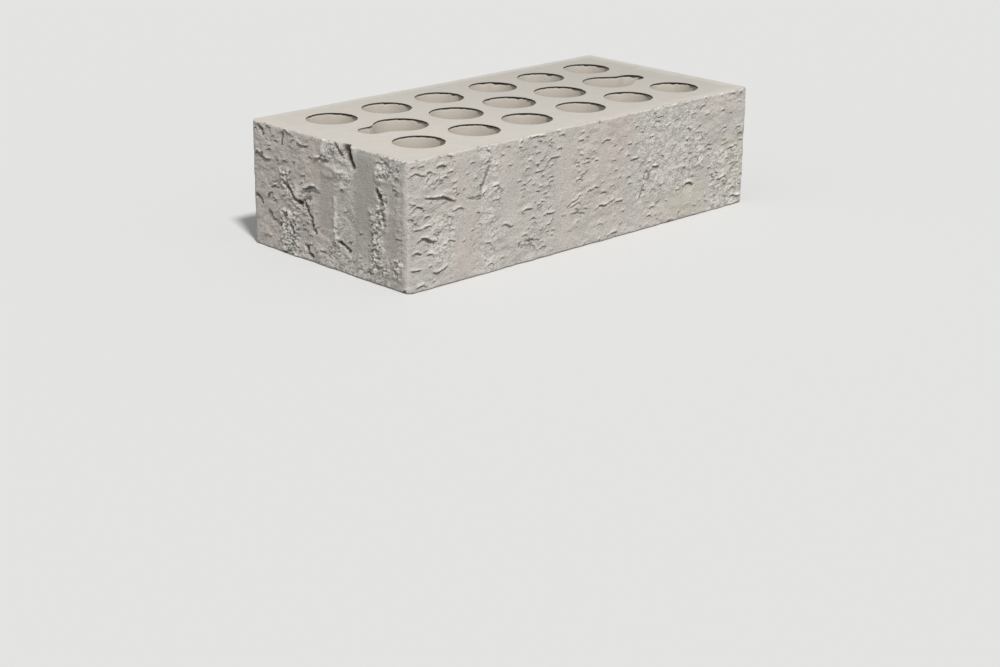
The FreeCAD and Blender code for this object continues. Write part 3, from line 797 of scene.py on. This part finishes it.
# %% The skin as a grid
torn = np.clip(crumbled + 0.6 * np.clip(torn_depth / 0.5, 0, 1) + 0.4 * scale_share, 0, 1)
# Painted shade in the pits between the crumbs.
pit = crumbled * ease((0.11 - np.abs(crumb)) / 0.08)
# Lighter clay: partly rubbed clay and partly painted highlight on the raised ridge, folds, flaps and the
# bulge under the arch, and painted highlight on lip tops, beside the front corner and on crumb tops.
rubbed_and_highlight = 1.1 * upright_ridge + long_fold / 0.7 + light_flap / 0.7 + smear / 0.4
rubbed_and_highlight = rubbed_and_highlight + np.minimum(lip_height / 0.2, 0.7)
rubbed_and_highlight = rubbed_and_highlight + 0.5 * np.exp(-(((along - FRONT + 2.4) / 2.2) ** 2)) + 0.5 * under_arch
rubbed_and_highlight = rubbed_and_highlight + 0.3 * fold_break * over_fold + 0.25 * patch(LEFT_END, 40, 44, 48, 58, 2)
pale = np.clip(0.8 * rubbed_and_highlight + 1.3 * crumbled * ease(np.abs(crumb) * 4 - 0.5), 0, 1)
warm = 0.25 + 0.55 * rough_noise(along, up, 16, 30, 101, 2)
PINK = [(FRONT, 31, 42, UNDER, OVER, 3, .45), (FRONT, 100, 152, UNDER, OVER, 12, .5),
        (LEFT_END, -5, 64, UNDER, OVER, 14, .5), (LEFT_END, 80, 97, UNDER, OVER, 4, -.4)]
YELLOW = [(FRONT, 188, 213, 3, 20, 6, 1), (FRONT, 232, 260, 12, 40, 6, 1),
          (LEFT_END, 107, 115, 6, 15, 3, 1)]
warm = np.clip(patches(PINK, warm), 0, 1.6)
ochre = np.clip(patches(YELLOW), 0, 1) * (0.7 + 0.3 * waves)
on_bed = np.isin(rows, [0, HEIGHT])[:, None]
# Painted shade: dark lines under torn edges and in grooves, the pits between crumbs, the left end's pressed
# plates and the die lines.
painted_shade = np.maximum(edge_line, 0.85 * pit) + 0.14 * plates * left_share - die_lines
skin_marks = {"torn": torn, "painted_shade": painted_shade, "pale": pale, "ochre": ochre}
skin_marks = {name: values * ~on_bed for name, values in skin_marks.items()}
add_grid(skin, False, warm=warm, bed=on_bed, **skin_marks)
print("mean marks:", {name: round(float(values.mean()), 2) for name, values in skin_marks.items()})

# %% Rings of a bed and rows of a bore
RING_GAPS = {1: np.array([0.0, 0.4, 1.0, 2.2]), -1: np.array([0.0, 0.6])}  # near an upper and a lower rim
BURR_HEIGHTS = np.array([0.0, 0.10, 0.06, 0.0])        # how far the burr stands up on those rings
# Every row of a bore: its depth, how far outside the clean core it lies, and how much painted shade
# darkens it under the burr.
BORE_DEPTHS = np.array([0.0, 0.12, 1.0, 1.25, 2.0, 6.0, HEIGHT - 0.8, HEIGHT])
LIP_OFFSETS = np.array([-0.35, -0.30, 0.55, 0.25, 0.05, 0, 0, -0.2])           # where the wire dragged
RUBBED_OFFSETS = np.array([0.40, 0.15, 0, 0, 0, 0, 0, 0.2])                    # where it ran off
BURR_SHADE = np.array([0.2, 1.0, 1.0, 0.05, 0, 0, 0, 0])
BURR_ROWS = slice(1, 5)                # the rows whose depth follows the ragged lip


def rim_offset(row, angle, number):
    """How far a row of the bore lies outside the clean core, by how the wire dragged or rubbed it."""
    share = drag_share(angle)
    return LIP_OFFSETS[row] * share * ragged(angle, number) + RUBBED_OFFSETS[row] * (1 - share)


def polar(centre, angle, distance, z):
    """Points at an angle and a distance from a cell's centre, at height z."""
    x = centre[0] + distance * np.cos(angle)
    y = centre[1] + distance * np.sin(angle)
    return np.stack(np.broadcast_arrays(x, y, z), axis=-1)


# %% One bed cell above and below, and one bore, for every core
for number, (centre, tail, radius, chosen) in enumerate(cells):
    rim_angles = {}
    for side, edge_row, z, row in ((1, -1, HEIGHT, 0), (-1, 0, 0.0, -1)):
        points = np.concatenate([skin[edge_row, :, :2], border])[chosen] - centre
        reach, angle = np.hypot(*points.T), np.arctan2(points[:, 1], points[:, 0])
        rim = rim_distance(angle, tail, radius) + rim_offset(row, angle, number)
        near_rim = rim + RING_GAPS[side][:, None]
        gaps = np.concatenate([near_rim, [(near_rim[-1] + reach) / 2, reach]])
        raised = np.zeros_like(gaps)
        if side > 0:
            raised[:len(BURR_HEIGHTS)] = BURR_HEIGHTS[:, None] * drag_share(angle) * ragged(angle, number)
        bed = polar(centre, angle, gaps, z + raised)
        far = np.clip(0.5 + bed[..., 0] / LENGTH * 1.05 + bed[..., 1] / WIDTH * 0.7, 0, 1)
        add_grid(bed, side > 0, bed=1.0, far=far)
        rim_angles[side] = angle
    turned = (rim_angles[-1] - rim_angles[1] + math.pi) % (2 * math.pi) - math.pi
    angle = rim_angles[1] + BORE_DEPTHS[:, None] / HEIGHT * turned
    share, broken = drag_share(angle), ragged(angle, number)
    distance = np.stack([
        rim_distance(angle[row], tail, radius) + rim_offset(row, angle[row], number)
        for row in range(len(BORE_DEPTHS))
    ])
    depth = BORE_DEPTHS[:, None] * np.ones_like(angle)
    scallop = 0.7 + 0.3 * share * np.minimum(broken, 1.6)
    depth[BURR_ROWS] = (depth * scallop)[BURR_ROWS]
    # Painted shade under the burr's lip, stronger where the wire dragged clay over the rim.
    shade = BURR_SHADE[:, None] * np.clip(0.35 + share, 0, 1)
    add_grid(polar(centre, angle, distance, HEIGHT - depth), False, burr=shade, bore=ease(depth / 1.5))
print(len(parts), "grids: the skin, and two bed cells and a bore for each core")

# %% One closed mesh
offsets = np.cumsum([0, *[len(points) for points, _, _ in parts]])
all_points = np.concatenate([points for points, _, _ in parts])
all_quads = np.concatenate([quads + start for (_, quads, _), start in zip(parts, offsets)])
keys = np.round(all_points * 1e4).astype(np.int64)
_, first, joined = np.unique(keys, axis=0, return_index=True, return_inverse=True)
vertices, quads = all_points[first] * MM, joined.reshape(-1)[all_quads]
marks = {name: np.concatenate([values[name] for _, _, values in parts])[first] for name in MARKS}

mesh = bpy.data.meshes.new("facing_brick")
mesh.from_pydata(vertices, [], quads)
mesh.polygons.foreach_set("use_smooth", np.ones(len(quads), bool))
for name, values in marks.items():
    mesh.attributes.new(name, "FLOAT", "POINT").data.foreach_set("value", values.astype(np.float32))
mesh.update()
brick = add_object("facing_brick", mesh)

edges = np.sort(np.stack([quads, np.roll(quads, -1, axis=1)], -1).reshape(-1, 2), axis=1)
uses = np.unique(edges, axis=0, return_counts=True)[1]
print(f"{len(vertices)} points, {2 * len(quads)} triangles, {int((uses != 2).sum())} open edges")

# %% [markdown]
# ## Fired clay
#
# The material is unglazed ceramic: pale clay, extruded, torn and fired without a glaze. It has no gloss
# at all, and its colour drifts in upright bands between a cool grey and a faint pink, where the clay
# dried at different speeds. The tools leave no colour of their own. Painted shade darkens the colour under
# torn edges, in crumb pits, on some plates and under the burrs, and painted highlight lightens raised lips,
# crumb tops and the front corner. Everything else is grain: fine sand on the smooth plates, coarse crumbs
# in the tears. A flat picture of clay would stretch and repeat, so noise nodes read the object's own
# coordinates, and the marks stored on the mesh say where the clay is torn, smooth or cut by the wire, and
# where shade and highlight are painted.

# %% Material helpers
def linear(text):
    """An sRGB hex colour as linear red, green, blue and an alpha of one."""
    values = [int(text[i:i + 2], 16) / 255 for i in (1, 3, 5)]
    return (*[v / 12.92 if v <= 0.04045 else ((v + 0.055) / 1.055) ** 2.4 for v in values], 1.0)


def empty_tree(owner):
    """Gives a material or a world an empty node tree."""
    owner.use_nodes = True
    owner.node_tree.nodes.clear()
    return owner.node_tree


clay = bpy.data.materials.new("unglazed_fired_clay")
tree = empty_tree(clay)


def node(kind, inputs, output=0, **settings):
    """Adds a node to the current tree, sets its properties and inputs, and gives back one output."""
    new = tree.nodes.new("ShaderNode" + kind)
    for name, value in settings.items():
        setattr(new, name, value)
    for socket, value in inputs.items():
        if isinstance(value, bpy.types.NodeSocket):
            tree.links.new(value, new.inputs[socket])
        else:
            new.inputs[socket].default_value = value
    return new.outputs[output] if new.outputs else None


# %% Grain of the clay
place = node("TexCoord", {}, "Object")
mark = {name: node("Attribute", {}, "Fac", attribute_name=name) for name in MARKS}

# Each grain: size in mm, detail, roughness. Real sand is finer, and is drawn coarser so that it shows.
GRAINS = {
    "sand": (0.8, 2.0, 0.6),
    "speck": (1.2, 1.5, 0.5),
    "crumb": (1.5, 3.0, 0.7),
    "blotch": (8.0, 4.0, 0.6),
    "cloud": (45.0, 2.0, 0.5),
}
grain = {
    name: node("TexNoise", {"Vector": place, "Scale": 1 / (size * MM), "Detail": detail,
                            "Roughness": rough})
    for name, (size, detail, rough) in GRAINS.items()
}
print(len(GRAINS), "grains, from", min(v[0] for v in GRAINS.values()), "mm")

# %% Colour of the clay
# Each layer: where it shows, as a mark, a grain or both, the colour, and its strength.
# A grain shows between two of its values, and a low value above a high one turns it over.
colour = node("Mix", {0: mark["warm"], 6: linear("#c5c2bb"), 7: linear("#cbc1b9")}, 2, data_type="RGBA")
LAYERS = [
    ("blotch", 0.40, 0.65, None, 0.30, "#a8a49b"),
    ("sand", 0.50, 0.64, None, 0.50, "#ddd8d0"),
    ("speck", 0.42, 0.28, None, 0.50, "#8a8279"),
    (None, 0, 1, "ochre", 0.55, "#c3bca6"),
    (None, 0, 1, "bed", 0.88, "#c1bcb4"),
    ("cloud", 0.45, 0.60, "bed", 0.28, "#c8bcb2"),
    ("blotch", 0.48, 0.62, "bed", 0.16, "#d4cfc8"),
    (None, 0, 1, "far", 0.60, "#a39f98"),
    # Lighter clay: rubbed clay, and painted highlight on raised lips, crumb tops and beside the front
    # corner.
    (None, 0, 1, "pale", 0.80, "#faf6f0"),
    ("crumb", 0.43, 0.33, "torn", 0.62, "#6c645a"),
    ("crumb", 0.55, 0.65, "torn", 0.80, "#f4f0e8"),
    # Painted shade under torn edges and in grooves, in crumb pits, on the left end's plates and in die
    # lines.
    (None, 0, 1, "painted_shade", 0.80, "#50463d"),
    (None, 0, 1, "bore", 0.95, "#c7bfb4"),
    # Painted shade under the lips of the burrs.
    (None, 0, 1, "burr", 0.92, "#4a4138"),
]
for grain_name, low_value, high_value, mark_name, strength, tone in LAYERS:
    factor = mark[mark_name] if mark_name else 1.0
    if grain_name:
        limits = {"Value": grain[grain_name], "From Min": low_value, "From Max": high_value}
        factor = node("Math", {0: node("MapRange", limits), 1: factor}, operation="MULTIPLY")
    factor = node("Math", {0: factor, 1: strength}, operation="MULTIPLY")
    colour = node("Mix", {0: factor, 6: colour, 7: linear(tone)}, 2, data_type="RGBA")
print(len(LAYERS), "layers of colour,", len(tree.nodes), "nodes")

# %% Bump of the clay
# Relief finer than the mesh: sand everywhere, crumbs where it is torn, little of either on beds and bores.
# Each grain: its height in mm on plain clay, and what torn clay and then beds and bores add to it.
height = 0.0
for grain_name, plain_mm, torn_mm, bed_mm in [("sand", 0.30, 0.15, -0.24), ("crumb", 0.26, 1.2, -0.22)]:
    rough = node("Math", {0: mark["torn"], 1: torn_mm, 2: plain_mm}, operation="MULTIPLY_ADD")
    rough = node("Math", {0: mark["bed"], 1: bed_mm, 2: rough}, operation="MULTIPLY_ADD")
    rough = node("Math", {0: mark["bore"], 1: bed_mm, 2: rough}, operation="MULTIPLY_ADD")
    height = node("Math", {0: grain[grain_name], 1: rough, 2: height}, operation="MULTIPLY_ADD")
bump = node("Bump", {"Height": height, "Distance": MM, "Strength": 1.0})
dull = {"Roughness": 0.92, "Specular IOR Level": 0.2}
node("OutputMaterial", {"Surface": node("BsdfPrincipled", {"Base Color": colour, "Normal": bump, **dull})})
mesh.materials.append(clay)

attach(brick, "root")
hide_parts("brick")
print(brick.name, "has the material", clay.name)

# %% [markdown]
# ## Floor, light and camera
#
# The brick lies on a plain pale floor. One soft lamp stands high in front of the long face, so that its
# light runs down over the tears and every upper edge throws a shadow. It reaches the left end only at a
# glancing angle, which is why the crumbs stand out there. The sky gives an even fill, and looks as pale
# as the floor. The camera looks down at the front corner from about a metre away, through a long lens.

# %% Floor
FLOOR_SIZE = 20.0                      # metres, so that its far edge shows only from very low
floor_mesh = bpy.data.meshes.new("floor")
half = FLOOR_SIZE / 2
floor_corners = [(-half, -half, 0), (half, -half, 0), (half, half, 0), (-half, half, 0)]
floor_mesh.from_pydata(floor_corners, [], [(0, 1, 2, 3)])
floor = add_object("floor", floor_mesh)


def seen_share():
    """1 for rays from the camera or off a mirror or glass, 0 for light that bounces onto the brick."""
    seen = 0.0
    for kind_of_ray in ("Is Camera Ray", "Is Glossy Ray", "Is Transmission Ray"):
        seen = node("Math", {0: seen, 1: node("LightPath", {}, kind_of_ray)}, operation="MAXIMUM")
    return seen


# What the camera and mirror-like rays see is pale paper. Light that the floor throws back on the object
# comes from a darker grey, so that the pale ground doesn't fill the tears with light from below.
paper = bpy.data.materials.new("matt_paper_floor")
tree = empty_tree(paper)
tone = node("Mix", {0: seen_share(), 6: linear("#939291"), 7: linear("#d4d4d3")}, 2, data_type="RGBA")
node("OutputMaterial", {"Surface": node("BsdfDiffuse", {"Color": tone})})
floor_mesh.materials.append(paper)
print(f"the floor is {FLOOR_SIZE:.0f} m wide")

# %% Light
SKY_LIGHT, SKY_SEEN = 0.40, 0.772      # how strongly the sky lights the brick, and how bright it looks
world = bpy.data.worlds.new("studio")
tree = empty_tree(world)
strength = node("Math", {0: seen_share(), 1: SKY_SEEN - SKY_LIGHT, 2: SKY_LIGHT}, operation="MULTIPLY_ADD")
node("OutputWorld", {"Surface": node("Background", {"Color": linear("#ffffff"), "Strength": strength})})
bpy.context.scene.world = world

KEY_STRENGTH, KEY_SPREAD = 0.95 * math.pi, math.radians(7)
TO_LIGHT = Vector((-0.185, -0.42, 0.64))
key = bpy.data.lights.new("key", "SUN")
key.energy = KEY_STRENGTH
key.angle = KEY_SPREAD
key_object = add_object("key", key)
key_object.rotation_euler = TO_LIGHT.to_track_quat("Z", "Y").to_euler()
print(f"the lamp stands {math.degrees(math.asin(TO_LIGHT.normalized().z)):.0f} degrees high")

# %% Camera
CAMERA_PLACE = Vector((-718.7, -727.8, 293.8)) * MM
AZIMUTH, ELEVATION, ROLL = math.radians(-44.435), math.radians(19.29), math.radians(0.637)
camera_data = bpy.data.cameras.new("camera")
camera_data.lens = 71.12
camera_data.sensor_width = 36
camera = add_object("camera", camera_data)
level = math.cos(ELEVATION)
forward = Vector((-math.sin(AZIMUTH) * level, math.cos(AZIMUTH) * level, -math.sin(ELEVATION)))
look = forward.to_track_quat("-Z", "Y").to_matrix().to_4x4()
camera.matrix_world = look @ Euler((0, 0, ROLL)).to_matrix().to_4x4()
camera.location = CAMERA_PLACE
bpy.context.scene.camera = camera
print(f"camera {CAMERA_PLACE.length:.2f} m from the brick's foot, {camera_data.lens:.0f} mm lens")

settings = bpy.context.scene.view_settings
settings.view_transform = "Standard"
